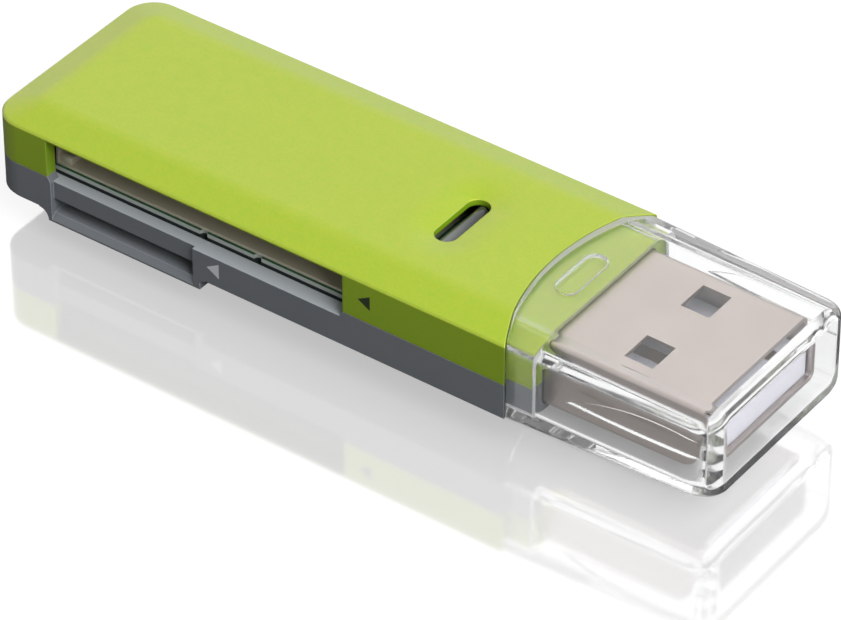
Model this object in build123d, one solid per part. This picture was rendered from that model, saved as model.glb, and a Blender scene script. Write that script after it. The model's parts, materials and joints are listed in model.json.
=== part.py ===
"""Pocket card reader: two-part casing, clear pull-off cap, plug, circuit board and two card sockets.

Millimetres. X runs along the length towards the plug, the card slots are on the -Y side, Z is up.
The model is drawn with x = 0 at the rear end and moved to its frame when it is written.
"""
import os
from math import atan2, degrees

from build123d import *

# Drawing aids
overshoot = 1.0
pick_band = 0.01

# Casing
split_height = 3.65
corner_radius = 2.3
slope_width = 2.45
slope_height = 0.82
slope_corner_radius = 0.9
soft_edge_radius = 3.0
crease_bevel = 0.12
side_wall = 0.9
skin = 0.8
lip_thickness = 0.4
lip_height = 0.6
lip_clearance = 0.06

# Cap and the nose that carries it
cap_edge_bow = 2.2
cap_wall = 1.0
cap_front_wall = 1.1
cap_front_room = 0.95
cap_clearance = 0.15
cap_seam = 0.1
cap_draft = 0.45
cap_corner_radius = 1.9
cap_edge_radius = 0.7
cap_side_wall_at_plug = 1.6
cap_roof_at_plug = 1.05
cap_room_radius = 0.8
nose_length = 1.65
nose_side_wall = 1.35
nose_roof_wall = 0.325
shoulder_wall = 1.0
detent_length = 4.5
detent_width = 1.4
detent_height = 0.1
detent_pocket_margin = 0.15
detent_pocket_depth = 0.35
detent_offset = 0.05
grip_rear_gap = 4.65
grip_middle_gap = 9.75
grip_front_run = 0.5
grip_tip_rise = 0.62
grip_crest_rise = 1.92
grip_front_rise = 1.38
grip_base_rise = 0.4
grip_base_front_rise = 0.52
grip_depth = 0.22

# Card slots
large_slot_start = 4.95
large_slot_width = 24.7
large_slot_lip = 0.23
ledge_drop = 0.45
ledge_depth = 1.25
ledge_end_slope = 0.25
small_slot_start = 5.2
small_slot_width = 12.05
small_slot_floor = 0.62
small_slot_height = 1.18
small_recess_depth = 0.32
small_lip_low = 0.15
block_margin_rear = 0.3
block_margin_front = 0.55
block_rear_radius = 0.8
block_front_radius = 0.4

# Light window
window_gap = 3.39
window_to_shoulder = 9.51
window_length = 5.2
window_width = 1.7
dish_depth = 0.33
dish_width = 1.6
dish_edge_radius = 8.0
pipe_end_gap = 0.15
pipe_side_gap = 0.3
pipe_recess = 0.42
pipe_crown_rise = 0.3
pipe_arm_thickness = 0.25
pipe_tab_reach = 0.7
pipe_tab_thickness = 0.5
pipe_stem_length = 2.4
pipe_stem_gap = 0.1

# Circuit board
board_rear_gap = 1.3
board_side_gap = 0.5
board_setback = 4.55
board_thickness = 0.8
board_rise = 0.05
board_corner_radius = 1.4
board_part_gap = 0.3
notch_radius = 0.3
notch_rear_place = 12.2
notch_front_place = 16.7
post_radius = 1.0
pin_radius = 0.6
pin_clearance = 0.1
pin_shortfall = 0.1
mid_post_gap = 0.25
mid_post_inset = 1.6
front_post_gap = 1.95
front_post_inset = 1.0

# Plug
plug_width = 12.0
plug_height = 4.5
plug_sheet = 0.3
plug_corner_radius = 0.6
plug_projection = 11.75
plug_board_gap = 0.2
plug_clearance = 0.1
plug_core_clearance = 0.03
plug_hole_length = 2.2
plug_hole_width = 2.6
plug_hole_spacing = 6.4
plug_hole_setback = 5.95
leg_length = 2.6
leg_height = 2.0
leg_slot_clearance = 0.1
tongue_side_gap = 0.15
tongue_setback = 0.4
core_block_setback = 0.3
contact_width = 1.0
contact_thickness = 0.2
contact_proud = 0.05
contact_tail = 1.6
contact_inner_pitch = 2.0
contact_outer_pitch = 7.0
contact_outer_setback = 0.8
contact_inner_setback = 1.8

# Large-card socket, on top of the board
large_shell_margin = 0.45
large_shell_height = 2.75
large_shell_sheet = 0.2
large_shell_near_gap = 0.3
large_shell_far_gap = 0.9
large_shell_clearance = 0.08
large_floor_strip = 3.4
large_floor_flange = 1.2
large_roof_window_length = 6.0
large_roof_window_depth = 2.2
large_carrier_depth = 3.0
large_carrier_back_room = 1.0
large_carrier_height = 1.4
large_carrier_clearance = 0.05
large_contact_count = 9
large_contact_pitch = 2.5
large_contact_width = 0.7
large_contact_reach = 4.6
large_contact_rise = 0.75
large_contact_sheet = 0.15
switch_mouth_gap = 1.0
switch_height = 0.9
switch_bend = 0.6
switch_crest = 0.8

# Shape of springs and bent leads, as shares of their reach
spring_flat = 0.15
spring_crest = 0.8
spring_tip = 0.6
lead_knee = 0.3
lead_foot = 0.45
tail_length = 0.8
tail_bend = 0.3
tail_knee = 0.15

# Small-card socket, under the board
small_shell_margin = 0.7
small_shell_sheet = 0.15
small_shell_near_gap = 0.15
small_shell_far_gap = 0.15
small_shell_floor_gap = 0.05
small_shell_clearance = 0.08
small_shell_window_length = 4.0
small_shell_window_depth = 5.0
small_carrier_height = 0.9
small_carrier_clearance = 0.05
small_carrier_depth = 9.5
small_carrier_back_room = 1.0
small_carrier_window_depth = 6.0
small_contact_count = 8
small_contact_pitch = 1.1
small_contact_width = 0.5
small_contact_reach = 4.2
small_contact_drop = 0.45
small_contact_sheet = 0.12

# Parts on the board
chip_length = 9.9
chip_width = 3.9
chip_height = 1.35
chip_standoff = 0.1
chip_lead_count = 14
chip_lead_pitch = 0.635
chip_lead_width = 0.25
chip_lead_sheet = 0.15
chip_lead_reach = 1.0
crystal_side = 3.8
crystal_length = 3.2
crystal_width = 2.5
crystal_height = 0.8
crystal_corner_radius = 0.4
regulator_side = 3.7
regulator_length = 2.9
regulator_width = 1.3
regulator_height = 1.0
regulator_lead_width = 0.4
regulator_lead_reach = 0.55
regulator_lead_pitch = 0.95
regulator_lead_sheet = 0.12
bulk_side = 2.6
bulk_length = 3.2
bulk_width = 1.6
bulk_height = 1.5
chip_part_length = 1.6
chip_part_width = 0.8
capacitor_height = 0.8
resistor_height = 0.45
terminal_length = 0.3
terminal_step = 0.06
chip_part_gap = 1.0
capacitor_count = 4
resistor_count = 4
light_length = 1.6
light_width = 0.8
light_height = 0.6
light_lens_length = 1.1
bevel_share = 0.125

# Places worked out from the sizes above
nose_inset = cap_wall + cap_clearance
body_width = plug_width + 2 * (plug_clearance + nose_side_wall + nose_inset)
body_height = plug_height + 2 * (plug_clearance + nose_roof_wall + nose_inset)
half_width = body_width / 2
large_slot_end = large_slot_start + large_slot_width
window_place = large_slot_end + window_gap
shoulder = window_place + window_to_shoulder
shoulder_apex = shoulder - cap_edge_bow
nose_front = shoulder + nose_length
overall_length = nose_front + plug_projection + cap_front_room + cap_front_wall
past_front = overall_length + overshoot
ledge_height = split_height - ledge_drop
large_slot_top = body_height - slope_height - large_slot_lip
small_slot_end = small_slot_start + small_slot_width
slot_reach = side_wall + slope_width
board_top = split_height + board_rise
board_bottom = board_top - board_thickness
board_half = half_width - side_wall - board_side_gap
board_rear = side_wall + board_rear_gap
board_front = shoulder - board_setback
part_front = board_front - contact_tail - board_part_gap
crystal_place = part_front - crystal_length / 2
regulator_place = part_front - regulator_length / 2
bulk_place = part_front - bulk_length / 2
small_shell_front = small_slot_end + small_shell_margin
chip_place = (small_shell_front + part_front - bulk_length) / 2
mid_post_place = small_shell_front + mid_post_gap + post_radius
mid_post_side = board_half - mid_post_inset
front_post_place = large_slot_end + front_post_gap
front_post_side = board_half - front_post_inset
plug_middle = body_height / 2
plug_front = nose_front + plug_projection
plug_rear = board_front + plug_board_gap
roof_inside = body_height - skin
to_frame = Pos(-overall_length / 2, 0, 0)


def block(x_low, x_high, y_low, y_high, z_low, z_high):
    """Plain block between two corners."""
    size = Box(x_high - x_low, y_high - y_low, z_high - z_low)
    return Pos((x_low + x_high) / 2, (y_low + y_high) / 2, (z_low + z_high) / 2) * size


def plan_rectangle(inset, height):
    """Casing seen from above as a plain rectangle, every side but the front drawn in by inset."""
    length = past_front - inset
    return Pos(inset + length / 2, 0, height) * Rectangle(length, body_width - 2 * inset)


def plan_outline(inset, radius, height):
    """Casing seen from above, drawn in by inset and rounded at its rear corners."""
    return fillet(plan_rectangle(inset, height).vertices().group_by(Axis.X)[0], radius)


def casing_form():
    """Outer shape of the casing: sloped bands with tighter corners inwards and a bevel along each crease."""
    share = crease_bevel / slope_width
    bevel_radius = corner_radius - share * (corner_radius - slope_corner_radius)
    bevel_height = slope_height * (1 - share)
    outlines = [(slope_width, slope_corner_radius, 0), (crease_bevel, bevel_radius, bevel_height),
                (0, corner_radius, slope_height + crease_bevel)]
    lower = [plan_outline(inset, radius, height) for inset, radius, height in outlines]
    upper = [plan_outline(inset, radius, body_height - height) for inset, radius, height in outlines[::-1]]
    return loft(lower + upper, ruled=True)


def casing_hollow():
    """Room inside the walls and skins, hipped at its corners."""
    levels = [(slope_width, skin), (0, skin + slope_height), (0, body_height - skin - slope_height),
              (slope_width, body_height - skin)]
    hipped = loft([plan_rectangle(side_wall + inset, height) for inset, height in levels], ruled=True)
    return hipped & extrude(plan_outline(side_wall, corner_radius - side_wall, 0), body_height)


def ahead_of_shoulder(gap):
    """Everything in front of the bowed shoulder line, moved forward by gap."""
    side = shoulder + gap
    wide = half_width + overshoot
    end = past_front + overshoot
    bow = ThreePointArc((side, -half_width), (side - cap_edge_bow, 0), (side, half_width))
    corners = [(side, half_width), (side, wide), (end, wide), (end, -wide),
               (side, -wide), (side, -half_width)]
    tool = extrude(make_face([bow, Polyline(*corners)]), body_height + 2 * overshoot)
    return Pos(0, 0, -overshoot) * tool


def section(inset):
    """Cross-section of the casing on the YZ plane, every side moved inwards by inset."""
    flat = half_width - slope_width
    corners = [(-flat, 0), (flat, 0), (half_width, slope_height), (half_width, body_height - slope_height),
               (flat, body_height), (-flat, body_height), (-half_width, body_height - slope_height),
               (-half_width, slope_height), (-flat, 0)]
    face = make_face(Polyline(*corners))
    if inset > 0:
        face = offset(face, -inset, kind=Kind.INTERSECTION)
    return Plane.YZ * face


def bar(face, start, end):
    """Solid of a YZ section between two places along the length."""
    return Pos(start, 0, 0) * extrude(face, end - start)


def obround(length, width, low, high, place):
    """Upright obround, long across the casing."""
    face = Pos(place, 0, low) * Rot(0, 0, 90) * SlotOverall(length, width)
    return extrude(face, high - low)


def plug_tube(size_gap, start, end):
    """Rounded bar of the plug's outer section, larger all round by size_gap."""
    radius = plug_corner_radius + size_gap
    face = RectangleRounded(plug_width + 2 * size_gap, plug_height + 2 * size_gap, radius)
    return Pos(0, 0, plug_middle) * bar(Plane.YZ * face, start, end)


def small_card_block():
    """Extra depth under the small-card mouth, down through the sloped band."""
    rear = small_slot_start - block_margin_rear
    front = small_slot_end + block_margin_front
    top = slope_height + crease_bevel
    rear_curve = RadiusArc((rear - block_rear_radius, slope_height), (rear, slope_height - block_rear_radius),
                           block_rear_radius)
    foot = Polyline((rear, slope_height - block_rear_radius), (rear, 0), (front, 0),
                    (front, slope_height - block_front_radius))
    front_curve = RadiusArc((front, slope_height - block_front_radius),
                            (front + block_front_radius, slope_height), block_front_radius)
    crown = Polyline((front + block_front_radius, slope_height), (front + block_front_radius, top),
                     (rear - block_rear_radius, top), (rear - block_rear_radius, slope_height))
    profile = Plane.XZ * make_face([rear_curve, foot, front_curve, crown])
    return Pos(0, -half_width, 0) * extrude(profile, -slope_width)


def rim_edges(form, height):
    """Edges of the casing form that lie at one height, without those of its plain front end."""
    level = form.edges().filter_by_position(Axis.Z, height - pick_band, height + pick_band)
    return [edge for edge in level if edge.center().X < overall_length]


def casing_outside():
    """Whole outside of the casing with its nose, before it is hollowed and split."""
    form = casing_form()
    form = fillet(rim_edges(form, body_height) + rim_edges(form, 0), soft_edge_radius)
    form += small_card_block()
    form -= ahead_of_shoulder(0)
    form += bar(section(nose_inset), shoulder_apex - shoulder_wall, nose_front)
    form += obround(detent_length, detent_width, nose_inset - detent_height,
                    body_height - nose_inset + detent_height, shoulder - detent_offset)
    return form


def casing_inside():
    """Hollow of the casing, with the channel that the plug passes through."""
    hollow = casing_hollow() - ahead_of_shoulder(-shoulder_wall)
    return hollow + plug_tube(plug_clearance, shoulder_apex - cap_edge_bow - shoulder_wall, past_front)


def large_slot():
    """Side opening of the large-card slot, with the sloped ends of its ledge."""
    inner = ledge_end_slope
    corners = [(large_slot_start, large_slot_top), (large_slot_start, split_height),
               (large_slot_start + inner, ledge_height), (large_slot_end - inner, ledge_height),
               (large_slot_end, split_height), (large_slot_end, large_slot_top),
               (large_slot_start, large_slot_top)]
    profile = Plane.XZ * make_face(Polyline(*corners))
    return Pos(0, -half_width - overshoot, 0) * extrude(profile, -slot_reach - overshoot)


def small_slot():
    """Mouth of the small-card slot with the recess above it and its sloped lower lip."""
    near = -half_width
    outside = near - overshoot
    edge = near + small_recess_depth
    inside = near + slot_reach
    top = small_slot_floor + small_slot_height
    corners = [(outside, small_lip_low), (near, small_lip_low), (edge, small_slot_floor),
               (inside, small_slot_floor), (inside, top), (edge, top), (edge, split_height),
               (outside, split_height), (outside, small_lip_low)]
    return bar(Plane.YZ * make_face(Polyline(*corners)), small_slot_start, small_slot_end)


def lip_ring(thickness, height):
    """Ring along the inside of the walls at the seam, open at the large-card slot and the shoulder."""
    inset = side_wall - thickness
    outer = plan_outline(inset, corner_radius - inset, split_height)
    inner = plan_outline(side_wall, corner_radius - side_wall, split_height)
    ring = extrude(outer - inner, height)
    ring -= block(shoulder_apex - shoulder_wall, past_front + overshoot, -body_width, body_width,
                  0, body_height)
    return ring - block(large_slot_start - lip_thickness, large_slot_end + lip_thickness, -body_width, 0,
                        0, body_height)


def dished(cover):
    """Cover with a shallow funnel round the light window, its rim eased into the roof."""
    reach = dish_width + window_width / 2
    depth = dish_depth * reach / dish_width
    run = window_length - window_width
    corners = [(window_place - reach, body_height), (window_place, body_height - depth),
               (window_place + reach, body_height), (window_place - reach, body_height)]
    cover -= Pos(0, run / 2, 0) * extrude(Plane.XZ * make_face(Polyline(*corners)), run)
    for end in (-run / 2, run / 2):
        cover -= Pos(window_place, end, body_height - depth / 2) * Cone(0, reach, depth)
    rim = [edge for edge in rim_edges(cover, body_height)
           if abs(edge.center().X - window_place) < reach + pick_band]
    return fillet(rim, dish_edge_radius)


def upright(radius, low, high, place, side):
    """Upright round post or pin."""
    return Pos(place, side, (low + high) / 2) * Cylinder(radius, high - low)


def top_cover(shell):
    """Upper half of the casing."""
    cover = split(shell, Plane.XY.offset(split_height), keep=Keep.TOP)
    cover -= lip_ring(lip_thickness + lip_clearance, lip_height + lip_clearance)
    cover -= large_slot()
    cover -= large_socket_room()
    cover = dished(cover)
    cover -= obround(window_length, window_width, split_height, body_height + overshoot, window_place)
    for post in pair(post_radius, board_top, roof_inside + skin / 2, front_post_place, front_post_side):
        cover += post
    return cover


def pair(radius, low, high, place, off):
    """Two upright posts, pins or holes, one on each side of the middle."""
    return [upright(radius, low, high, place, side) for side in (-off, off)]


def bottom_cover(shell):
    """Lower half of the casing."""
    cover = split(shell, Plane.XY.offset(split_height), keep=Keep.BOTTOM)
    cover += lip_ring(lip_thickness, lip_height)
    near = -half_width
    cover += block(large_slot_start - ledge_depth, large_slot_end + ledge_depth, near + side_wall / 2,
                   near + ledge_depth, slope_height + skin, ledge_height)
    cover -= large_slot()
    cover -= small_slot()
    cover -= small_socket_room()
    for place, off in ((mid_post_place, mid_post_side), (front_post_place, front_post_side)):
        for post in pair(post_radius, skin / 2, board_bottom, place, off):
            cover += post
    for pin in pair(pin_radius, skin, board_top - pin_shortfall, mid_post_place, mid_post_side):
        cover += pin
    return cover


def grip_hollow(side):
    """Leaf-shaped finger hollow in one side of the cap, running out at the front corner."""
    rear = shoulder + grip_rear_gap
    middle = shoulder + grip_middle_gap
    front = overall_length + grip_front_run
    centre = body_height / 2
    tip = (rear, centre + grip_tip_rise)
    upper_end = (front, centre + grip_front_rise)
    lower_end = (front, centre + grip_base_front_rise)
    upper = ThreePointArc(tip, (middle, centre + grip_crest_rise), upper_end)
    lower = ThreePointArc(lower_end, (middle, centre + grip_base_rise), tip)
    leaf = Plane.XZ * make_face([upper, Line(upper_end, lower_end), lower])
    outside = half_width + overshoot
    taper = cap_draft / (overall_length - shoulder_apex)
    rear_floor = half_width - grip_depth - taper * (rear - shoulder_apex)
    front_floor = half_width - grip_depth - taper * (front - shoulder_apex)
    corners = [(rear, side * rear_floor), (front, side * front_floor), (front, side * outside),
               (rear, side * outside), (rear, side * rear_floor)]
    slab = extrude(make_face(Polyline(*corners)), body_height)
    return slab & extrude(leaf, half_width + overshoot, both=True)


def cap():
    """Clear cap, drafted towards the front, bowed at its rear edge and hollow for the nose and plug."""
    prism = bar(section(0), shoulder_apex, overall_length)
    sides = [face for face in prism.faces() if abs(face.normal_at().X) < pick_band]
    taper = degrees(atan2(cap_draft, overall_length - shoulder_apex))
    form = draft(sides, Plane.YZ.offset(shoulder_apex), taper)
    front = form.faces().sort_by(Axis.X)[-1]
    uprights = front.edges().filter_by(Axis.Z)
    form = fillet(uprights, cap_corner_radius)
    sharp = [edge for edge in form.edges() if edge.center().X > shoulder_apex + pick_band]
    form = fillet(sharp, cap_edge_radius)
    form &= ahead_of_shoulder(cap_seam)
    form -= bar(section(cap_wall), shoulder_apex - overshoot, nose_front + cap_clearance)
    room = RectangleRounded(body_width - 2 * cap_side_wall_at_plug, body_height - 2 * cap_roof_at_plug,
                            cap_room_radius)
    form -= Pos(0, 0, body_height / 2) * bar(Plane.YZ * room, shoulder_apex, overall_length - cap_front_wall)
    pocket = obround(detent_length + 2 * detent_pocket_margin, detent_width + 2 * detent_pocket_margin,
                     cap_wall - detent_pocket_depth, body_height - cap_wall + detent_pocket_depth,
                     shoulder - detent_offset)
    form -= pocket
    for side in (-1, 1):
        form -= grip_hollow(side)
    return form


def plug_shell():
    """Folded sheet tube of the plug with its holes and its two soldered legs."""
    tube = plug_tube(0, plug_rear, plug_front)
    tube -= plug_tube(-plug_sheet, plug_rear - overshoot, plug_front + overshoot)
    hole_place = plug_front - plug_hole_setback
    for side in (-plug_hole_spacing / 2, plug_hole_spacing / 2):
        tube -= block(hole_place - plug_hole_length / 2, hole_place + plug_hole_length / 2,
                      side - plug_hole_width / 2, side + plug_hole_width / 2, 0, body_height)
    middle = (board_top + board_bottom) / 2
    for side in (-1, 1):
        outer = side * plug_width / 2
        inner = side * (plug_width / 2 - plug_sheet)
        tube += block(plug_rear - leg_length, plug_rear + plug_sheet, min(outer, inner), max(outer, inner),
                      middle - leg_height / 2, middle + leg_height / 2)
    return tube


def contact_strips(gap):
    """Four flat plug contacts, larger all round by gap."""
    tail = board_front - contact_tail
    low = board_top
    strips = []
    rows = ((contact_outer_pitch, contact_outer_setback), (contact_inner_pitch, contact_inner_setback))
    for pitch, setback in rows:
        for side in (-pitch / 2, pitch / 2):
            strips.append(block(tail - gap, plug_front - setback + gap, side - contact_width / 2 - gap,
                                side + contact_width / 2 + gap, low - gap, low + contact_thickness + gap))
    return strips


def plug_insulator():
    """Insulator: a rear block that fills the shell, and the tongue under the contacts."""
    inside = plug_sheet + plug_core_clearance
    floor = plug_middle - plug_height / 2 + inside
    tongue_top = board_top + contact_thickness - contact_proud
    half_tongue = plug_width / 2 - plug_sheet - tongue_side_gap
    core = plug_tube(-inside, plug_rear, nose_front - core_block_setback)
    core += block(plug_rear, plug_front - tongue_setback, -half_tongue, half_tongue, floor, tongue_top)
    for strip in contact_strips(plug_core_clearance):
        core -= strip
    return core


def circuit_board():
    """Board with rounded rear corners, pin holes, edge notches and slots for the plug's legs."""
    plain = Rectangle(board_front - board_rear, 2 * board_half)
    outline = Pos((board_rear + board_front) / 2, 0, board_bottom) * plain
    outline = fillet(outline.vertices().group_by(Axis.X)[0], board_corner_radius)
    board = extrude(outline, board_thickness)
    for hole in pair(pin_radius + pin_clearance, 0, body_height, mid_post_place, mid_post_side):
        board -= hole
    for place in (notch_rear_place, notch_front_place):
        board -= upright(notch_radius, 0, body_height, large_slot_start + place, -board_half)
    gap = leg_slot_clearance
    for side in (-1, 1):
        outer = side * (plug_width / 2 + gap)
        inner = side * (plug_width / 2 - plug_sheet - gap)
        board -= block(plug_rear - leg_length - gap, past_front, min(outer, inner), max(outer, inner),
                       0, body_height)
    return board


def large_shell_limits():
    """Rear, front, near and far sides and the top of the large-card shell."""
    near = -half_width + ledge_depth + large_shell_near_gap
    far = half_width - side_wall - large_shell_far_gap
    return (large_slot_start - large_shell_margin, large_slot_end + large_shell_margin, near, far,
            board_top + large_shell_height)


def large_socket_room():
    """Room cut into the upper cover for the large-card shell."""
    rear, front, near, far, high = large_shell_limits()
    gap = large_shell_clearance
    return block(rear - gap, front + gap, near - gap, far + gap, split_height, high + gap)


def large_card_shell():
    """Stamped socket shell: roof with windows, side walls, floor strip at the mouth and floor flanges."""
    rear, front, near, far, high = large_shell_limits()
    sheet = large_shell_sheet
    low = board_top
    inner = near + large_floor_strip
    shell = block(rear, front, near, far, low, high)
    shell -= block(rear + sheet, front - sheet, near - overshoot, far + overshoot, low + sheet, high - sheet)
    shell -= block(rear + large_floor_flange, front - large_floor_flange, inner, far + overshoot,
                   low - overshoot, high - 2 * sheet)
    middle = (rear + front) / 2
    for side in (-1, 1):
        place = middle + side * large_roof_window_length
        shell -= block(place - large_roof_window_length / 2, place + large_roof_window_length / 2, inner,
                       inner + large_roof_window_depth, high - 2 * sheet, high + overshoot)
    return shell


def large_carrier_front():
    """Front face of the large-card contact carrier."""
    far = large_shell_limits()[3]
    return far - large_carrier_back_room - large_carrier_depth


def large_card_carrier():
    """Insulating bar at the back of the large-card socket that holds the spring contacts."""
    rear, front, near, far, high = large_shell_limits()
    inset = large_floor_flange + large_carrier_clearance
    face = large_carrier_front()
    carrier = block(rear + inset, front - inset, face, face + large_carrier_depth, board_top,
                    board_top + large_carrier_height)
    for contact in large_card_contacts():
        carrier -= contact
    return carrier


def large_card_contacts():
    """Row of spring contacts from tails on the board, through the carrier, up towards the slot."""
    face = large_carrier_front()
    back = face + large_carrier_depth
    middle = large_slot_start + large_slot_width / 2
    base = board_top + large_carrier_height / 2
    seat = board_top + large_contact_sheet / 2
    reach = large_contact_reach
    path = Polyline((back + tail_length, seat), (back + tail_bend, seat), (back + tail_knee, base),
                    (face - reach * spring_flat, base),
                    (face - reach * spring_crest, base + large_contact_rise),
                    (face - reach, base + large_contact_rise * spring_tip))
    strip = Plane.YZ * trace(path, large_contact_sheet)
    first = middle - large_contact_pitch * (large_contact_count - 1) / 2 - large_contact_width / 2
    return [Pos(first + index * large_contact_pitch, 0, 0) * extrude(strip, large_contact_width)
            for index in range(large_contact_count)]


def large_card_switches():
    """Two leaf springs along the side of the large-card socket, for card-in and write lock."""
    rear, front, near, far, high = large_shell_limits()
    wall = front - large_shell_sheet
    sheet = large_contact_sheet
    low = board_top + large_carrier_height
    reach = (large_carrier_front() - near - switch_mouth_gap) / 2 - sheet
    leaves = []
    for row in (0, 1):
        start = large_carrier_front() - row * (reach + 2 * sheet)
        path = Polyline((wall - sheet / 2, start), (wall - sheet / 2, start - reach * switch_bend),
                        (wall - 2 * sheet, start - reach * switch_crest), (wall - sheet, start - reach))
        leaves.append(Pos(0, 0, low) * extrude(trace(path, sheet), switch_height))
    return leaves


def small_shell_limits():
    """Rear, front, near and far sides and the underside of the small-card shell."""
    near = -half_width + ledge_depth + small_shell_near_gap
    far = half_width - side_wall - slope_width - small_shell_far_gap
    return (small_slot_start - small_shell_margin, small_shell_front, near, far,
            skin + small_shell_floor_gap)


def small_socket_room():
    """Room cut into the lower cover for the small-card shell."""
    rear, front, near, far, low = small_shell_limits()
    gap = small_shell_clearance
    return block(rear - gap, front + gap, near - gap, far + gap, skin, board_bottom)


def small_card_shell():
    """Stamped shell of the small-card socket, open towards the board, the slot and its solder tails."""
    rear, front, near, far, low = small_shell_limits()
    sheet = small_shell_sheet
    shell = block(rear, front, near, far, low, board_bottom)
    shell -= block(rear + sheet, front - sheet, near - overshoot, far + overshoot, low + sheet,
                   board_bottom + overshoot)
    middle = (rear + front) / 2
    centre = (near + far) / 2
    shell -= block(middle - small_shell_window_length / 2, middle + small_shell_window_length / 2,
                   centre - small_shell_window_depth / 2, centre + small_shell_window_depth / 2,
                   low - overshoot, low + 2 * sheet)
    return shell


def small_carrier_back():
    """Back face of the small-card contact carrier."""
    return small_shell_limits()[3] - small_carrier_back_room


def small_card_carrier():
    """Insulating frame of the small-card socket, against the board, round its spring contacts."""
    rear, front, near, far, low = small_shell_limits()
    inset = small_shell_sheet + small_carrier_clearance
    back = small_carrier_back()
    centre = back - small_carrier_depth / 2
    frame = block(rear + inset, front - inset, back - small_carrier_depth, back,
                  board_bottom - small_carrier_height, board_bottom)
    span = small_contact_pitch * (small_contact_count - 1) / 2 + small_contact_width
    middle = (rear + front) / 2
    frame -= block(middle - span, middle + span, centre - small_carrier_window_depth / 2,
                   centre + small_carrier_window_depth / 2, low, body_height)
    for contact in small_card_contacts():
        frame -= contact
    return frame


def small_card_contacts():
    """Row of spring contacts from tails on the board, through the carrier, bent down to the card."""
    rear, front, near, far, low = small_shell_limits()
    back = small_carrier_back()
    edge = back - (small_carrier_depth - small_carrier_window_depth) / 2
    level = board_bottom - small_carrier_height / 2
    seat = board_bottom - small_contact_sheet / 2
    reach = small_contact_reach
    path = Polyline((back + tail_length, seat), (back + tail_bend, seat), (back + tail_knee, level),
                    (edge - reach * spring_flat, level),
                    (edge - reach * spring_crest, level - small_contact_drop),
                    (edge - reach, level - small_contact_drop * spring_tip))
    strip = Plane.YZ * trace(path, small_contact_sheet)
    first = (rear + front) / 2 - small_contact_pitch * (small_contact_count - 1) / 2 - small_contact_width / 2
    return [Pos(first + index * small_contact_pitch, 0, 0) * extrude(strip, small_contact_width)
            for index in range(small_contact_count)]


def controller_chip():
    """Moulded body of the controller, under the board."""
    high = board_bottom - chip_standoff
    body = block(chip_place - chip_length / 2, chip_place + chip_length / 2, -chip_width / 2, chip_width / 2,
                 high - chip_height, high)
    return chamfer(body.edges().filter_by(Axis.X), chip_height * bevel_share)


def controller_leads():
    """Two rows of bent leads from the controller to the board's underside."""
    level = board_bottom - chip_standoff - chip_height / 2
    seat = board_bottom - chip_lead_sheet / 2
    out = chip_width / 2
    leads = []
    for side in (-1, 1):
        path = Polyline((side * out, level), (side * (out + chip_lead_reach * lead_knee), level),
                        (side * (out + chip_lead_reach * lead_foot), seat),
                        (side * (out + chip_lead_reach), seat))
        strip = Plane.YZ * trace(path, chip_lead_sheet)
        first = chip_place - chip_lead_pitch * (chip_lead_count - 1) / 2 - chip_lead_width / 2
        leads += [Pos(first + index * chip_lead_pitch, 0, 0) * extrude(strip, chip_lead_width)
                  for index in range(chip_lead_count)]
    return leads


def crystal_can():
    """Metal can of the crystal, on top of the board."""
    face = Pos(crystal_place, -crystal_side, board_top) * RectangleRounded(
        crystal_length, crystal_width, crystal_corner_radius)
    return extrude(face, crystal_height)


def regulator():
    """Moulded body of the voltage regulator."""
    low = board_top + regulator_lead_sheet / 2
    body = block(regulator_place - regulator_length / 2, regulator_place + regulator_length / 2,
                 regulator_side - regulator_width / 2, regulator_side + regulator_width / 2,
                 low, low + regulator_height)
    return chamfer(body.faces().sort_by(Axis.Z)[-1].edges(), regulator_height * bevel_share)


def regulator_leads():
    """Three bent leads of the voltage regulator."""
    level = board_top + regulator_lead_sheet / 2 + regulator_height / 2
    seat = board_top + regulator_lead_sheet / 2
    leads = []
    for side, offsets in ((-1, (-regulator_lead_pitch, regulator_lead_pitch)), (1, (0,))):
        out = regulator_width / 2
        path = Polyline((regulator_side + side * out, level),
                        (regulator_side + side * (out + regulator_lead_reach * lead_knee), level),
                        (regulator_side + side * (out + regulator_lead_reach * lead_foot), seat),
                        (regulator_side + side * (out + regulator_lead_reach), seat))
        strip = Plane.YZ * trace(path, regulator_lead_sheet)
        for shift in offsets:
            start = regulator_place + shift - regulator_lead_width / 2
            leads.append(Pos(start, 0, 0) * extrude(strip, regulator_lead_width))
    return leads


def bulk_capacitor():
    """Larger moulded capacitor under the board."""
    body = block(bulk_place - bulk_length / 2, bulk_place + bulk_length / 2, bulk_side - bulk_width / 2,
                 bulk_side + bulk_width / 2, board_bottom - bulk_height, board_bottom)
    return chamfer(body.edges().filter_by(Axis.X).group_by(Axis.Z)[0], bulk_height * bevel_share)


def chip_parts(height, side, count):
    """Row of small end-capped parts under the board, beside the controller."""
    row = side * (chip_width / 2 + chip_lead_reach + chip_part_gap)
    pitch = chip_part_length + chip_part_gap
    first = chip_place - pitch * (count - 1) / 2
    half = chip_part_length / 2
    low = board_bottom - height
    parts = []
    for index in range(count):
        middle = first + index * pitch
        body = block(middle - half, middle + half, row - chip_part_width / 2, row + chip_part_width / 2,
                     low, board_bottom)
        body -= block(middle - half + terminal_length, middle + half - terminal_length, row - chip_part_width,
                      row + chip_part_width, low - overshoot, low + terminal_step)
        parts.append(body)
    return parts


def status_light():
    """Small surface-mounted light under the window."""
    half = light_width / 2
    step = board_top + light_height / 2
    body = block(window_place - half, window_place + half, -light_length / 2, light_length / 2,
                 board_top, step)
    body += block(window_place - half, window_place + half, -light_lens_length / 2, light_lens_length / 2,
                  step, board_top + light_height)
    return body


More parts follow.
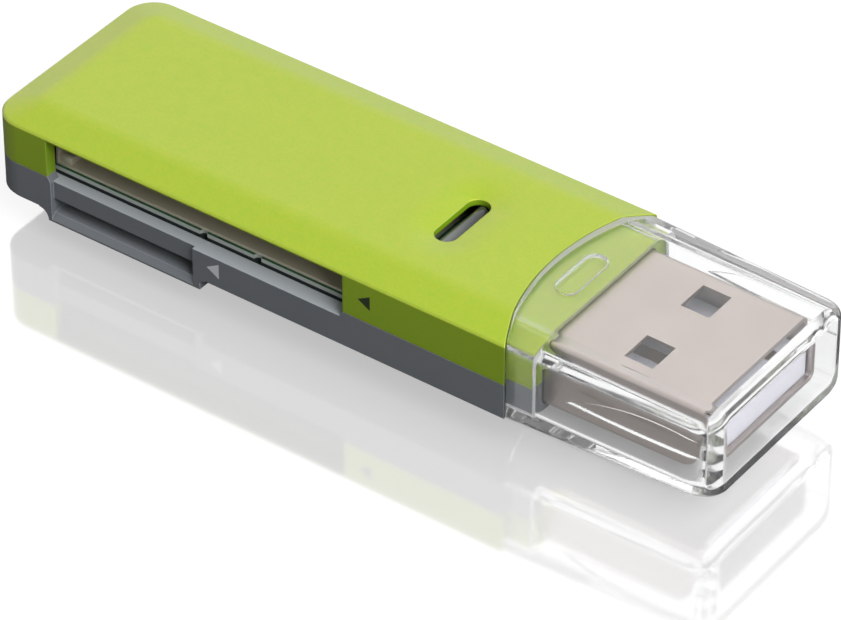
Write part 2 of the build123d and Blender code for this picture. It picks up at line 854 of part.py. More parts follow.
def light_pipe():
    """Clear grey light pipe: a crowned bar in the window, tabs under the roof and a stem above the light."""
    high = body_height - dish_depth - pipe_recess
    low = roof_inside - pipe_tab_thickness
    width = window_width - 2 * pipe_side_gap
    rear = window_place - width / 2
    front = window_place + width / 2
    end = window_length / 2
    tip = end + pipe_tab_reach
    pipe = obround(window_length - 2 * pipe_end_gap, width, low, high, window_place)
    edge = high - pipe_crown_rise
    crown = ThreePointArc((rear, edge), (window_place, high), (front, edge))
    foot = Polyline((front, edge), (front, low), (rear, low), (rear, edge))
    pipe &= Pos(0, tip, 0) * extrude(Plane.XZ * make_face([crown, foot]), 2 * tip)
    pipe += block(rear, front, -tip, tip, low, low + pipe_arm_thickness)
    for near, far in ((-tip, -end), (end, tip)):
        pipe += block(rear, front, near, far, low, roof_inside)
    pipe += block(rear, front, -pipe_stem_length / 2, pipe_stem_length / 2,
                  board_top + light_height + pipe_stem_gap, low + pipe_arm_thickness)
    return pipe


def pieces():
    """Every node's name with its solid or solids."""
    shell = casing_outside() - casing_inside()
    return {
        "top_cover": top_cover(shell),
        "bottom_cover": bottom_cover(shell),
        "cap": cap(),
        "plug_shell": plug_shell(),
        "plug_insulator": plug_insulator(),
        "plug_contacts": contact_strips(0),
        "circuit_board": circuit_board(),
        "large_card_shell": large_card_shell(),
        "large_card_carrier": large_card_carrier(),
        "large_card_contacts": large_card_contacts(),
        "large_card_switches": large_card_switches(),
        "small_card_shell": small_card_shell(),
        "small_card_carrier": small_card_carrier(),
        "small_card_contacts": small_card_contacts(),
        "controller_chip": controller_chip(),
        "controller_leads": controller_leads(),
        "crystal_can": crystal_can(),
        "regulator": regulator(),
        "regulator_leads": regulator_leads(),
        "bulk_capacitor": bulk_capacitor(),
        "ceramic_capacitors": chip_parts(capacitor_height, 1, capacitor_count),
        "chip_resistors": chip_parts(resistor_height, -1, resistor_count),
        "status_light": status_light(),
        "light_pipe": light_pipe(),
    }


os.makedirs("parts", exist_ok=True)
for name, shape in pieces().items():
    members = shape if isinstance(shape, list) else [shape]
    solids = [to_frame * solid for member in members for solid in member.solids()]
    export_step(Compound(solids) if len(solids) > 1 else solids[0], f"parts/{name}.step")
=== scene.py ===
"""Looks of the pocket card reader: finishes of its pieces, the card guides and the studio round them."""

import json
import logging
from dataclasses import dataclass, field
from enum import Enum
from typing import Any, Callable, Mapping, Optional, Sequence, Union

import bpy
from mathutils import Matrix, Vector


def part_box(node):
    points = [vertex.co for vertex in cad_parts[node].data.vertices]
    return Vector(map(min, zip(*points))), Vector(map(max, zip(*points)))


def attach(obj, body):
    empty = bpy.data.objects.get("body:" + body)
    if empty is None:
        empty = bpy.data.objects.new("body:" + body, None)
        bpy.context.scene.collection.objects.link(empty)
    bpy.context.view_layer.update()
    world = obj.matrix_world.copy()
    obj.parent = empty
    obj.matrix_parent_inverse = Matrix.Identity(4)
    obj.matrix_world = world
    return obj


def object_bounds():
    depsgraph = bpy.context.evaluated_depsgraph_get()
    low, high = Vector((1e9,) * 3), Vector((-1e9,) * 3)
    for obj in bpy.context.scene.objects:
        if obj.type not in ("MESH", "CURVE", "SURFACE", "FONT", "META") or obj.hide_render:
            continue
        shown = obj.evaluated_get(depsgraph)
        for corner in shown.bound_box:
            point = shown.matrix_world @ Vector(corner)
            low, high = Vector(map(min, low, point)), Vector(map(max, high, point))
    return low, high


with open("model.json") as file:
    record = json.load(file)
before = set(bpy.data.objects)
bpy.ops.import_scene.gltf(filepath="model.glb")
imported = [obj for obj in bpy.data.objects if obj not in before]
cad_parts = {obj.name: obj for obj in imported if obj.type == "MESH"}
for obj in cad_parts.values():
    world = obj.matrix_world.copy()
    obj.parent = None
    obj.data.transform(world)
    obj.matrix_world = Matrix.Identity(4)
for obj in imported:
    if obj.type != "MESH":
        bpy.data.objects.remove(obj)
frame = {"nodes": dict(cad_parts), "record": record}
cad_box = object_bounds()

LOG = logging.getLogger("card_reader")
MM = 0.001

Number = Union[int, float]
Colour = tuple[float, float, float]
Triple = tuple[float, float, float]


def srgb(red: int, green: int, blue: int) -> Colour:
    """Turn a screen colour into the linear values that shaders take.

    Args:
        red: Red, 0 to 255.
        green: Green, 0 to 255.
        blue: Blue, 0 to 255.

    Returns:
        The same colour as three linear values.
    """
    def linear(level: int) -> float:
        """Linear value of one screen level."""
        share = level / 255
        return share / 12.92 if share <= 0.04045 else ((share + 0.055) / 1.055) ** 2.4

    return linear(red), linear(green), linear(blue)


WHITE: Colour = (1.0, 1.0, 1.0)


class Slot(Enum):
    """The record's material slots."""

    GREEN_PAINT = "green_paint"
    GREY_PLASTIC = "grey_plastic"
    CLEAR_PLASTIC = "clear_plastic"
    PLUG_STEEL = "plug_steel"
    SOCKET_STEEL = "socket_steel"
    PALE_PLASTIC = "pale_plastic"
    BLACK_PLASTIC = "black_plastic"
    GOLD_PLATE = "gold_plate"
    TIN_PLATE = "tin_plate"
    BOARD = "board"
    AMBER_PLASTIC = "amber_plastic"
    TAN_CERAMIC = "tan_ceramic"
    DARK_CERAMIC = "dark_ceramic"
    SMOKE_PLASTIC = "smoke_plastic"


class Body(Enum):
    """The bodies that a piece can ride on."""

    READER = "reader"
    CAP = "cap"


class Ray(Enum):
    """Kinds of ray that the floor and the world tell apart."""

    CAMERA = "Is Camera Ray"
    GLOSSY = "Is Glossy Ray"
    TRANSMISSION = "Is Transmission Ray"


class Wire:
    """A node's output socket that can be used in arithmetic."""

    def __init__(self, web: "Web", socket: bpy.types.NodeSocket) -> None:
        """Keep the node web and the socket."""
        self.web = web
        self.socket = socket

    def __add__(self, other: "Value") -> "Wire":
        """Sum."""
        return self.web.math("ADD", self, other)

    __radd__ = __add__

    def __mul__(self, other: "Value") -> "Wire":
        """Product."""
        return self.web.math("MULTIPLY", self, other)

    __rmul__ = __mul__

    def __sub__(self, other: "Value") -> "Wire":
        """Difference."""
        return self.web.math("SUBTRACT", self, other)

    def __rsub__(self, other: "Value") -> "Wire":
        """Difference from a plain number."""
        return self.web.math("SUBTRACT", other, self)

    def __truediv__(self, other: "Value") -> "Wire":
        """Quotient."""
        return self.web.math("DIVIDE", self, other)

    def __rtruediv__(self, other: "Value") -> "Wire":
        """Quotient of a plain number."""
        return self.web.math("DIVIDE", other, self)

    def __gt__(self, other: "Value") -> "Wire":
        """One where this is the larger, otherwise nought."""
        return self.web.math("GREATER_THAN", self, other)

    def __lt__(self, other: "Value") -> "Wire":
        """One where this is the smaller, otherwise nought."""
        return self.web.math("LESS_THAN", self, other)

    def __abs__(self) -> "Wire":
        """Size without its sign."""
        return self.web.math("ABSOLUTE", self)


Value = Union[Wire, Number]


class Web:
    """The node web of one material or of the world."""

    edge_samples: int = 6
    edge_start: float = 0.99
    edge_end: float = 0.86
    first_turn: float = 0.5
    past_one_wall: float = 2.5

    def __init__(self, tree: bpy.types.NodeTree) -> None:
        """Empty the tree and keep it."""
        self.tree = tree
        tree.nodes.clear()

    def node(self, kind: str, settings: Optional[Mapping[str, Any]] = None,
             inputs: Optional[Mapping[Any, Any]] = None) -> bpy.types.Node:
        """Add one node.

        Args:
            kind: Blender's node type.
            settings: Properties set before the sockets.
            inputs: Socket name or number to a value or a Wire.

        Returns:
            The new node.
        """
        made = self.tree.nodes.new(kind)
        for name, value in (settings or {}).items():
            setattr(made, name, value)
        for key, value in (inputs or {}).items():
            self._feed(made.inputs[key], value)
        return made

    def _feed(self, socket: bpy.types.NodeSocket, value: Any) -> None:
        """Link a Wire to a socket, or set the socket's own value.

        Args:
            socket: The input socket.
            value: A Wire, a colour or a plain value.
        """
        if isinstance(value, Wire):
            self.tree.links.new(value.socket, socket)
        elif isinstance(value, tuple) and socket.type == "RGBA" and len(value) == 3:
            socket.default_value = (*value, 1.0)
        else:
            socket.default_value = value

    def out(self, made: bpy.types.Node, name: Union[str, int] = 0) -> Wire:
        """Output of a node as a Wire."""
        return Wire(self, made.outputs[name])

    def math(self, operation: str, *values: Value) -> Wire:
        """Add a Math node and return its result."""
        made = self.node("ShaderNodeMath", {"operation": operation}, dict(enumerate(values)))
        return self.out(made)

    def larger(self, first: Value, second: Value) -> Wire:
        """The larger of two values."""
        return self.math("MAXIMUM", first, second)

    def place(self) -> Wire:
        """Object coordinates, which are the row frame in metres."""
        return self.out(self.node("ShaderNodeTexCoord"), "Object")

    def split(self, vector: Wire) -> tuple[Wire, Wire, Wire]:
        """X, Y and Z of a vector."""
        made = self.node("ShaderNodeSeparateXYZ", inputs={0: vector})
        return self.out(made, 0), self.out(made, 1), self.out(made, 2)

    def axes(self) -> tuple[Wire, Wire, Wire]:
        """Object coordinates split into X, Y and Z."""
        return self.split(self.place())

    def normal(self) -> Wire:
        """The surface's own normal."""
        return self.out(self.node("ShaderNodeNewGeometry"), "Normal")

    def facing(self) -> tuple[Wire, Wire, Wire]:
        """X, Y and Z of the surface's own normal."""
        return self.split(self.normal())

    def ramp(self, value: Value, start: float, end: float, low: Value = 0.0, high: Value = 1.0,
             smooth: bool = False) -> Wire:
        """Run from one value to another while a third goes from start to end.

        Args:
            value: What drives the ramp.
            start: Where the ramp begins.
            end: Where it ends.
            low: Result up to the start.
            high: Result from the end on.
            smooth: Whether both ends ease in.

        Returns:
            The ramp's value.
        """
        settings = {"interpolation_type": "SMOOTHSTEP" if smooth else "LINEAR"}
        inputs = {0: value, 1: start, 2: end, 3: low, 4: high}
        return self.out(self.node("ShaderNodeMapRange", settings, inputs))

    def noise(self, scale: float, detail: float = 2.0, stretch: Triple = (1.0, 1.0, 1.0)) -> Wire:
        """Smooth noise on Object coordinates.

        Args:
            scale: Grains per metre.
            detail: Octaves.
            stretch: Scale of each axis before the noise.

        Returns:
            The noise value, about 0 to 1.
        """
        spot = self.node("ShaderNodeMapping", inputs={"Vector": self.place(), "Scale": stretch})
        inputs = {"Vector": self.out(spot), "Scale": scale, "Detail": detail}
        return self.out(self.node("ShaderNodeTexNoise", inputs=inputs))

    def flakes(self, scale: float) -> Wire:
        """One random value for each small cell, as in flake paint.

        Args:
            scale: Cells per metre.

        Returns:
            The cell's value, 0 to 1.
        """
        made = self.node("ShaderNodeTexVoronoi", inputs={"Vector": self.place(), "Scale": scale})
        split = self.node("ShaderNodeSeparateColor", inputs={0: self.out(made, "Color")})
        return self.out(split)

    def blend(self, share: Value, first: Any, second: Any) -> Wire:
        """Mix two colours.

        Args:
            share: How much of the second colour.
            first: Colour or Wire.
            second: Colour or Wire.

        Returns:
            The mixed colour.
        """
        made = self.node("ShaderNodeMix", {"data_type": "RGBA"}, {0: share, 6: first, 7: second})
        return self.out(made, 2)

    def worn_edge(self, radius: float) -> Wire:
        """Normal that rounds sharp edges by a small radius in metres."""
        return self.out(self.node("ShaderNodeBevel", {"samples": self.edge_samples}, {"Radius": radius}))

    def rim(self, radius: float) -> Wire:
        """Find sharp edges, where the rounded normal turns.

        Args:
            radius: Width of the edge in metres.

        Returns:
            One at the edge, falling to nought away from it.
        """
        made = self.node("ShaderNodeVectorMath", {"operation": "DOT_PRODUCT"}, {
            0: self.worn_edge(radius), 1: self.normal()})
        return self.ramp(self.out(made, "Value"), self.edge_start, self.edge_end)

    def bump(self, height: Wire, depth: float, normal: Optional[Wire] = None) -> Wire:
        """Normal of a small relief.

        Args:
            height: Relief, 0 to 1.
            depth: Depth of the relief in metres.
            normal: Normal under the relief, the surface's own if none.

        Returns:
            The bent normal.
        """
        inputs = {"Height": height, "Distance": depth}
        if normal is not None:
            inputs["Normal"] = normal
        return self.out(self.node("ShaderNodeBump", inputs=inputs))

    def principled(self, inputs: Mapping[str, Any]) -> bpy.types.Node:
        """Add a Principled shader."""
        return self.node("ShaderNodeBsdfPrincipled", inputs=inputs)

    def mix(self, share: Value, first: bpy.types.Node, second: bpy.types.Node) -> bpy.types.Node:
        """Mix two shaders.

        Args:
            share: How much of the second shader.
            first: Shader node.
            second: Shader node.

        Returns:
            The Mix Shader node.
        """
        return self.node("ShaderNodeMixShader", inputs={0: share, 1: self.out(first), 2: self.out(second)})

    def any_ray(self, *kinds: Ray) -> Wire:
        """Tell kinds of ray apart.

        Args:
            kinds: The kinds to find.

        Returns:
            One for these kinds, nought for all others.
        """
        path = self.node("ShaderNodeLightPath")
        found = self.out(path, kinds[0].value)
        for kind in kinds[1:]:
            found = self.larger(found, self.out(path, kind.value))
        return found

    def unmirrored(self) -> Wire:
        """Find rays that no mirror has turned.

        Returns:
            One for rays that nothing has turned, or that turned inside one clear wall only.
        """
        path = self.node("ShaderNodeLightPath")
        straight = self.out(path, "Glossy Depth") < self.first_turn
        return self.larger(straight, self.out(path, "Transmission Depth") < self.past_one_wall)

    def surface(self, shader: bpy.types.Node) -> None:
        """Feed a shader to the material's output."""
        self.node("ShaderNodeOutputMaterial", inputs={"Surface": self.out(shader)})


class Finish:
    """A surface finish: subclasses fill in the node web."""

    def weave(self, web: Web) -> None:
        """Fill the material's node web.

        Args:
            web: The node web of the new material.
        """
        raise NotImplementedError

    def material(self, name: str) -> bpy.types.Material:
        """Make the material.

        Args:
            name: Name of the new material.

        Returns:
            The material with its nodes.
        """
        made = bpy.data.materials.new(name)
        made.use_nodes = True
        self.weave(Web(made.node_tree))
        return made


@dataclass(frozen=True)
class Arrow:
    """A small printed triangle on the slot side, pointing to the rear, sizes in metres."""

    tip_x: float
    back_x: float
    low_z: float
    high_z: float
    colour: Colour
    side_y: float = -8.45 * MM

    def mask(self, web: Web) -> Wire:
        """Mark the triangle.

        Args:
            web: The node web to add to.

        Returns:
            One inside the triangle on the slot side, nought elsewhere.
        """
        x, y, z = web.axes()
        middle = (self.low_z + self.high_z) / 2
        half = (self.high_z - self.low_z) / 2
        width = (x - self.tip_x) * (half / (self.back_x - self.tip_x))
        inside = (abs(z - middle) < width) * (x < self.back_x)
        return inside * (y < self.side_y)


@dataclass(frozen=True)
class FlakePaint(Finish):
    """Lime lacquer: gold flakes in a green base under a clear satin coat, with a painted highlight that
    lightens it along sharp edges.
    """

    green: Colour
    deep: Colour
    gold: Colour
    # colour of the painted highlight along sharp edges
    edge: Colour
    arrow: Arrow
    share: float = 0.36
    spread: float = 0.16
    cell: float = 9000
    speck_scale: float = 900
    cloud_scale: float = 140
    speck_gloss: float = 0.1
    cloud_gloss: float = 0.08
    lacquer_roughness: float = 0.4
    metal_roughness: float = 0.36
    coat_roughness: float = 0.3
    coat_index: float = 1.54
    flake_relief: float = 0.4
    relief_depth: float = 0.004 * MM
    stain: float = 0.25
    edge_radius: float = 0.15 * MM
    highlight_radius: float = 0.09 * MM
    painted_highlight: float = 0.5

    def weave(self, web: Web) -> None:
        """Fill the material's node web.

        Args:
            web: The node web of the new material.
        """
        flake = web.flakes(self.cell)
        speck = web.noise(self.speck_scale, 3)
        cloud = web.noise(self.cloud_scale, 3)
        ink = self.arrow.mask(web)
        base = web.blend((speck + cloud) * 0.5, self.green, self.deep)
        # painted highlight: the base colour turns pale along sharp edges
        highlighted_base = web.blend(web.rim(self.highlight_radius) * self.painted_highlight, base, self.edge)
        gloss = speck * self.speck_gloss + cloud * self.cloud_gloss
        height = flake * self.flake_relief + speck
        relief = web.bump(height, self.relief_depth, web.worn_edge(self.edge_radius))
        coat = {
            "Normal": relief, "Coat Weight": 1.0, "Coat Roughness": self.coat_roughness,
            "Coat IOR": self.coat_index}
        lacquer = web.principled({
            "Base Color": web.blend(ink, highlighted_base, self.arrow.colour),
            "Roughness": gloss + self.lacquer_roughness, "Specular IOR Level": 0.0, **coat})
        metal = web.principled({
            "Base Color": web.blend(speck * self.stain, self.gold, self.green), "Metallic": 1.0,
            "Roughness": gloss + self.metal_roughness, **coat})
        cover = flake * self.spread + (self.share - self.spread / 2)
        web.surface(web.mix(cover * (1 - ink), lacquer, metal))


@dataclass(frozen=True)
class SatinPlastic(Finish):
    """Moulded plastic with a fine satin grain; on a casing, painted highlights lighten the sharp edges and
    painted light lightens the upward faces, more so higher up.
    """

    colour: Colour
    pale: Colour
    roughness: float = 0.42
    gloss: float = 0.12
    grain: float = 4200
    cloud_scale: float = 220
    grain_tint: float = 0.2
    cloud_tint: float = 0.7
    depth: float = 0.008 * MM
    edge_radius: float = 0.08 * MM
    # colour of the painted highlights on sharp edges and of the painted light on upward faces; none leaves
    # both out
    edge: Optional[Colour] = None
    arrow: Optional[Arrow] = None
    painted_highlight: float = 0.7
    painted_upward_low: float = 0.15
    painted_upward_high: float = 1.0
    painted_upward_start: float = 1.5 * MM
    painted_upward_end: float = 3.0 * MM
    upward: float = 0.7

    def weave(self, web: Web) -> None:
        """Fill the material's node web.

        Args:
            web: The node web of the new material.
        """
        grain = web.noise(self.grain, 3)
        cloud = web.noise(self.cloud_scale, 3)
        tint = web.blend(cloud * self.cloud_tint + grain * self.grain_tint, self.colour, self.pale)
        # painted highlight on sharp edges and painted light on upward faces, weaker towards the bottom
        if self.edge is not None:
            height = web.axes()[2]
            painted_upward_light = web.ramp(height, self.painted_upward_start, self.painted_upward_end, self.painted_upward_low, self.painted_upward_high)
            level = (web.facing()[2] > self.upward) * painted_upward_light
            tint = web.blend(web.larger(web.rim(self.edge_radius) * self.painted_highlight, level), tint, self.edge)
        if self.arrow is not None:
            tint = web.blend(self.arrow.mask(web), tint, self.arrow.colour)
        web.surface(web.principled({
            "Base Color": tint, "Roughness": cloud * self.gloss + (self.roughness - self.gloss / 2),
            "Normal": web.bump(grain, self.depth, web.worn_edge(self.edge_radius))}))


@dataclass(frozen=True)
class ClearPlastic(Finish):
    """Polished clear moulding with a hazy end face where it meets the casing."""

    colour: Colour
    haze: Colour
    rim_x: float
    index: float = 1.49
    swirl_scale: float = 600
    swirl_gloss: float = 0.02
    polish: float = 0.005
    relief_depth: float = 0.002 * MM
    rim_facing: float = 0.5
    haze_tint: float = 0.2
    haze_roughness: float = 0.5
    haze_share: float = 0.85
    edge_radius: float = 0.12 * MM

    def weave(self, web: Web) -> None:
        """Fill the material's node web.

        Args:
            web: The node web of the new material.
        """
        swirl = web.noise(self.swirl_scale, 2)
        rim = (abs(web.facing()[0]) > self.rim_facing) * (web.axes()[0] < self.rim_x)
        relief = web.bump(swirl, self.relief_depth, web.worn_edge(self.edge_radius))
        clear = web.principled({
            "Base Color": self.colour, "Roughness": swirl * self.swirl_gloss + self.polish,
            "IOR": self.index, "Transmission Weight": 1.0, "Normal": relief})
        misted = web.blend(swirl * self.haze_tint, self.haze, self.colour)
        frost = web.principled({"Base Color": misted, "Roughness": self.haze_roughness})
        web.surface(web.mix(rim * self.haze_share, clear, frost))


@dataclass(frozen=True)
class PlatedSheet(Finish):
    """Rolled and plated sheet metal with fine lines along its grain."""

    colour: Colour
    stain: Colour
    roughness: float = 0.28
    along: Triple = (0.08, 1.0, 1.0)
    metal: float = 1.0
    line_scale: float = 9000
    cloud_scale: float = 260
    line_gloss: float = 0.1
    cloud_gloss: float = 0.08
    relief_depth: float = 0.0012 * MM
    edge_radius: float = 0.06 * MM

    def weave(self, web: Web) -> None:
        """Fill the material's node web.

        Args:
            web: The node web of the new material.
        """
        lines = web.noise(self.line_scale, 3, self.along)
        cloud = web.noise(self.cloud_scale, 3)
        gloss = lines * self.line_gloss + cloud * self.cloud_gloss
        smoothest = self.roughness - (self.line_gloss + self.cloud_gloss) / 2
        web.surface(web.principled({
            "Base Color": web.blend(cloud, self.colour, self.stain), "Metallic": self.metal,
            "Roughness": gloss + smoothest,
            "Normal": web.bump(lines, self.relief_depth, web.worn_edge(self.edge_radius))}))


@dataclass(frozen=True)
class Laminate(Finish):
    """Glass-fibre board: masked tracks on its faces; its cut edges are pale fibre with a band of painted
    shade along their lower part.
    """

    mask: Colour
    track: Colour
    edge: Colour
    # colour of the painted shade on the edges' lower part, also mixed into the pale fibre as streaks
    painted_shade_and_fibre: Colour
    low_z: float
    high_z: float
    skin: float = 0.05 * MM
    painted_shade_share: float = 0.55
    cell_scale: float = 900.0
    track_edge: float = 0.45
    track_share: float = 0.7
    fibre_scale: float = 5000
    fibre_stretch: Triple = (1.0, 1.0, 4.0)
    fibre_tint: float = 0.3
    fibre_gloss: float = 0.2
    roughness: float = 0.3
    relief_depth: float = 0.01 * MM

    def weave(self, web: Web) -> None:
        """Fill the material's node web.

        Args:
            web: The node web of the new material.
        """
        z = web.axes()[2]
        inside = (z > self.low_z + self.skin) * (z < self.high_z - self.skin)
        # painted shade: the lower part of each cut edge is dark
        above_painted_shade = z > self.low_z + (self.high_z - self.low_z) * self.painted_shade_share
        cells = web.node("ShaderNodeTexVoronoi", {"distance": "MANHATTAN"}, {
            "Vector": web.place(), "Scale": self.cell_scale})
        tracks = web.out(cells, "Distance") > self.track_edge
        face = web.blend(tracks * self.track_share, self.mask, self.track)
        fibre = web.noise(self.fibre_scale, 2, self.fibre_stretch)
        core = web.blend(above_painted_shade, self.painted_shade_and_fibre, web.blend(fibre * self.fibre_tint, self.edge, self.painted_shade_and_fibre))
        web.surface(web.principled({
            "Base Color": web.blend(inside, face, core),
            "Roughness": fibre * self.fibre_gloss + self.roughness,
            "Normal": web.bump(fibre, self.relief_depth)}))


@dataclass(frozen=True)
class EndCapped(Finish):
    """Fired chip with tinned ends: the ends repeat along X at a fixed pitch."""

    body: Colour
    tin: Colour
    middle_x: float
    pitch: float = 2.6 * MM
    half_body: float = 0.5 * MM
    grain_scale: float = 6000
    grain_tint: float = 0.4
    grain_gloss: float = 0.2
    roughness: float = 0.3
    relief_depth: float = 0.006 * MM

    def weave(self, web: Web) -> None:
        """Fill the material's node web.

        Args:
            web: The node web of the new material.
        """
        step = web.math("PINGPONG", web.axes()[0] - self.middle_x, self.pitch / 2)
        ends = step > self.half_body
        grain = web.noise(self.grain_scale, 2)
        tint = web.blend(ends, web.blend(grain * self.grain_tint, self.body, self.tin), self.tin)
        web.surface(web.principled({
            "Base Color": tint, "Metallic": ends, "Roughness": grain * self.grain_gloss + self.roughness,
            "Normal": web.bump(grain, self.relief_depth)}))


@dataclass(frozen=True)
class SmokedPlastic(Finish):
    """Translucent grey moulding of the light pipe, with painted shade that darkens it towards its far end.
    """

    colour: Colour
    # colour of the painted shade at the pipe's far end
    deep: Colour
    near_y: float
    far_y: float
    cloud_scale: float = 700
    cloud_tint: float = 0.2
    cloud_gloss: float = 0.1
    roughness: float = 0.12
    relief_depth: float = 0.004 * MM
    clearness: float = 0.35
    index: float = 1.49
    coat: float = 0.5
    coat_roughness: float = 0.05

    def weave(self, web: Web) -> None:
        """Fill the material's node web.

        Args:
            web: The node web of the new material.
        """
        cloud = web.noise(self.cloud_scale, 2)
        # painted shade: the colour darkens from the pipe's near end to its far end, with a little random
        # mottle
        depth = web.ramp(web.axes()[1], self.near_y, self.far_y, smooth=True)
        painted_shade_and_mottle = depth * (1 - self.cloud_tint) + cloud * self.cloud_tint
        web.surface(web.principled({
            "Base Color": web.blend(painted_shade_and_mottle, self.colour, self.deep),
            "Roughness": cloud * self.cloud_gloss + self.roughness,
            "Normal": web.bump(cloud, self.relief_depth), "Transmission Weight": self.clearness,
            "IOR": self.index, "Coat Weight": self.coat, "Coat Roughness": self.coat_roughness}))


@dataclass(frozen=True)
class FloorFinish(Finish):
    """Pale glossy sheet, shaded under the object, that runs out into a white field all round."""

    colour: Colour
    dull: Colour
    bounce: Colour
    foot: tuple[float, float]
    near: tuple[float, float]
    far: float = 2.0
    shade: float = 0.15
    glow: float = 0.72
    shine: float = 0.3
    mirrored: float = 0.25
    shade_start: float = -7 * MM
    shade_end: float = -2.5 * MM
    dust_scale: float = 3
    dust_share: float = 0.1
    roughness: float = 0.6
    mirror_roughness: float = 0.08

    def weave(self, web: Web) -> None:
        """Fill the material's node web.

        Args:
            web: The node web of the new material.
        """
        x, y, _ = web.axes()
        across = x / self.near[0]
        along = y / self.near[1]
        reach = web.math("SQRT", across * across + along * along)
        field_share = web.ramp(reach, 1.0, self.far, smooth=True)
        # painted shadow: the floor's glow drops under the object's footprint
        under = web.larger(abs(x) - self.foot[0], abs(y) - self.foot[1])
        glow = web.ramp(under, self.shade_start, self.shade_end, self.shade, self.glow)
        dust = web.noise(self.dust_scale, 2) * self.dust_share
        sheet = web.principled({
            "Base Color": web.blend(dust, self.colour, self.dull), "Roughness": self.roughness,
            "Specular IOR Level": 0.0})
        matt = web.node("ShaderNodeBsdfDiffuse", inputs={"Color": self.bounce})
        white = web.node("ShaderNodeEmission", inputs={"Color": WHITE, "Strength": 1.0})
        mirror = web.node("ShaderNodeBsdfGlossy", inputs={
            "Color": WHITE, "Roughness": self.mirror_roughness})
        shown = web.mix(self.shine, web.mix(glow, sheet, white), mirror)
        dim = web.mix(web.any_ray(Ray.TRANSMISSION) * self.mirrored, matt, white)
        close = web.mix(web.any_ray(Ray.CAMERA, Ray.TRANSMISSION) * web.unmirrored(), dim, shown)
        away = web.mix(web.any_ray(Ray.CAMERA, Ray.GLOSSY, Ray.TRANSMISSION), matt, white)
        top = web.mix(field_share, close, away)
        below = web.out(web.node("ShaderNodeNewGeometry"), "Backfacing")
        web.surface(web.mix(below, top, web.node("ShaderNodeBsdfTransparent")))


GOLD = PlatedSheet(srgb(226, 186, 104), srgb(205, 160, 80), 0.22, (1.0, 0.08, 1.0))
TIN = PlatedSheet(srgb(205, 205, 208), srgb(180, 182, 186), 0.25)
BLACK = SatinPlastic(srgb(28, 28, 30), srgb(42, 42, 45), 0.5)
PALE = SatinPlastic(srgb(236, 234, 248), srgb(246, 245, 253), 0.35)


@dataclass
class Wardrobe:
    """Makes each finish's material once and hangs it on the pieces."""

    nodes: Mapping[str, bpy.types.Object]
    slots: Mapping[str, Slot]
    made: dict[tuple[Slot, Finish], bpy.types.Material] = field(default_factory=dict)

    def hang(self, finish: Finish, slot: Slot, piece: bpy.types.Object) -> None:
        """Give one object a finish.

        Args:
            finish: The finish.
            slot: The record's material slot, which names the material.
            piece: The object to dress.
        """
        key = (slot, finish)
        if key not in self.made:
            self.made[key] = finish.material(slot.value)
        piece.data.materials.clear()
        piece.data.materials.append(self.made[key])
        LOG.info("dressed %s in %s", piece.name, slot.value)

    def dress(self, finish: Finish, *names: str) -> None:
        """Give the named solids a finish.

        Args:
            finish: The finish.
            names: Names of the solids.
        """
        for name in names:
            self.hang(finish, self.slots[name], self.nodes[name])


class Bench:
    """Modelling with operators, one piece at a time, in the row frame."""

    @staticmethod
    def block(name: str, low: Vector, high: Vector) -> bpy.types.Object:
        """Start a piece as a block.

        Args:
            name: Name of the piece.
            low: Its lowest corner.
            high: Its highest corner.

        Returns:
            The new object, with its place in its mesh.
        """
        bpy.ops.object.select_all(action="DESELECT")
        bpy.ops.mesh.primitive_cube_add(size=1.0, location=(low + high) / 2, scale=high - low)
        piece = bpy.context.object
        piece.name = name
        bpy.ops.object.transform_apply(location=True, rotation=True, scale=True)
        return piece

    @staticmethod
    def pick_edges(piece: bpy.types.Object, test: Callable[[Vector], bool]) -> None:
        """Go into edit mode with the edges selected whose ends both pass a test.

        Args:
            piece: The piece in work.
            test: Takes a corner's place.
        """
        bpy.ops.object.mode_set(mode="EDIT")
        bpy.ops.mesh.select_mode(type="EDGE")
        bpy.ops.mesh.select_all(action="DESELECT")
        bpy.ops.object.mode_set(mode="OBJECT")
        corners = piece.data.vertices
        for edge in piece.data.edges:
            edge.select = all(test(corners[index].co) for index in edge.vertices)
        bpy.ops.object.mode_set(mode="EDIT")

    @staticmethod
    def pick_faces(piece: bpy.types.Object, test: Callable[[Vector], bool]) -> None:
        """Go into edit mode with the faces selected whose normal passes a test.

        Args:
            piece: The piece in work.
            test: Takes a face's normal.
        """
        bpy.ops.object.mode_set(mode="EDIT")
        bpy.ops.mesh.select_mode(type="FACE")
        bpy.ops.mesh.select_all(action="DESELECT")
        bpy.ops.object.mode_set(mode="OBJECT")
        for face in piece.data.polygons:
            face.select = test(face.normal)
        bpy.ops.object.mode_set(mode="EDIT")

    @staticmethod
    def soften(piece: bpy.types.Object, width: float, steps: int) -> None:
        """Leave edit mode, round the sharp edges and smooth the shading.

        Args:
            piece: The piece in work.
            width: Width of the rounding in metres.
            steps: Faces across the rounding.
        """
        bpy.ops.object.mode_set(mode="OBJECT")
        rounding = piece.modifiers.new("rounding", "BEVEL")
        rounding.width = width
        rounding.segments = steps
        rounding.limit_method = "ANGLE"
        bpy.ops.object.modifier_apply(modifier=rounding.name)
        bpy.ops.object.shade_smooth_by_angle()

    @staticmethod
    def copy(piece: bpy.types.Object, name: str, shift: Vector) -> bpy.types.Object:
        """Copy a finished piece to another place.

        Args:
            piece: The piece to copy.
            name: Name of the copy.
            shift: How far the copy is moved.

        Returns:
            The copy, with its own mesh.
        """
        made = piece.copy()
        made.name = name
        made.data = piece.data.copy()
        made.data.transform(Matrix.Translation(shift))
        bpy.context.scene.collection.objects.link(made)
        return made


@dataclass
class SubAssembly:
    """Pieces that come off together: subclasses build what is new and dress them all."""

    wardrobe: Wardrobe

    def build(self) -> None:
        """Model the new pieces, if there are any."""

    def dress(self) -> None:
        """Give every piece its finish."""
        raise NotImplementedError


